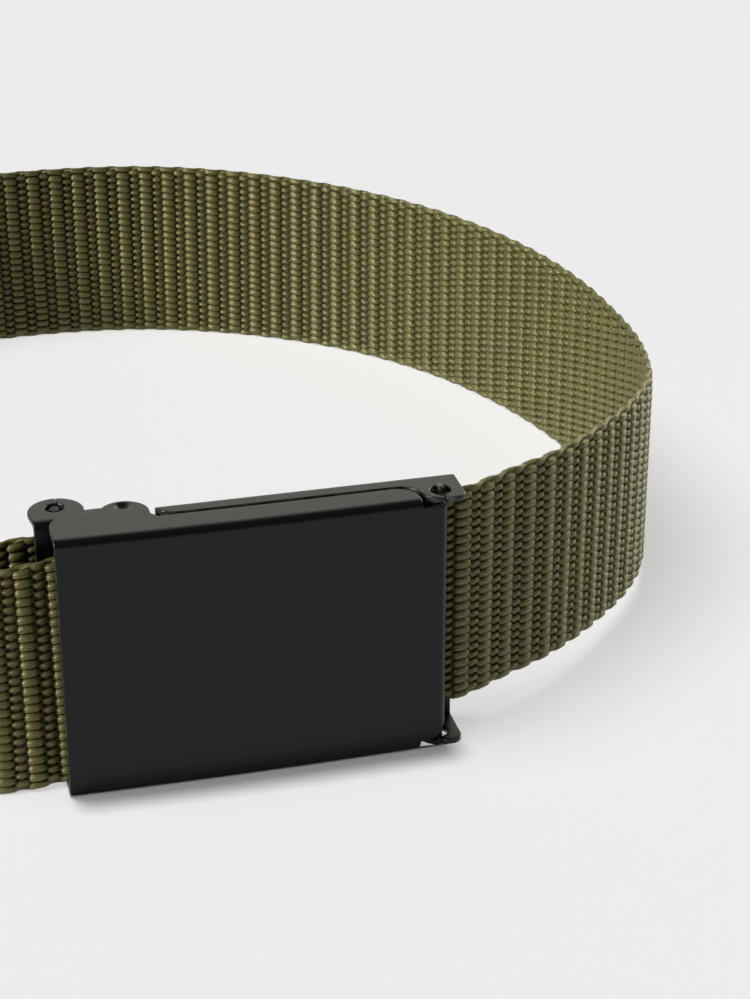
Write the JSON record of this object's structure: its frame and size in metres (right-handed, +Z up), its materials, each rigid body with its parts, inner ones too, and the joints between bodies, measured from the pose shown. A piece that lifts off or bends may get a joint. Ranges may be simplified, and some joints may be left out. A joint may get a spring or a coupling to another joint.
{
  "type": "webbing belt with a flip-top buckle",
  "caption": "Woven webbing belt closed to a loop on its edge, fastened by a flat folded-metal flip-top buckle, its free end lying against the clamped side.",
  "frame": {"origin": "middle of the belt's footprint, on the surface that it stands on", "axes": "+Z up along the webbing's width, -Y the way the buckle's face looks, +X to the right of somebody facing the buckle"},
  "size_m": [0.182, 0.1796, 0.041],
  "materials": {
    "webbing": "olive-green plain-woven webbing of thick ribbed yarn, a soft sheen on each float",
    "black_coat": "matt black powder coat with a faint grain, slightly rubbed at the edges",
    "bar_steel": "black-finished steel, a little brighter than the coated sheet"
  },
  "bodies": {
    "root": {"strap": "webbing", "buckle_cover": "black_coat", "buckle_frame": "black_coat", "clamp_bar": "bar_steel"}
  },
  "joints": []
}
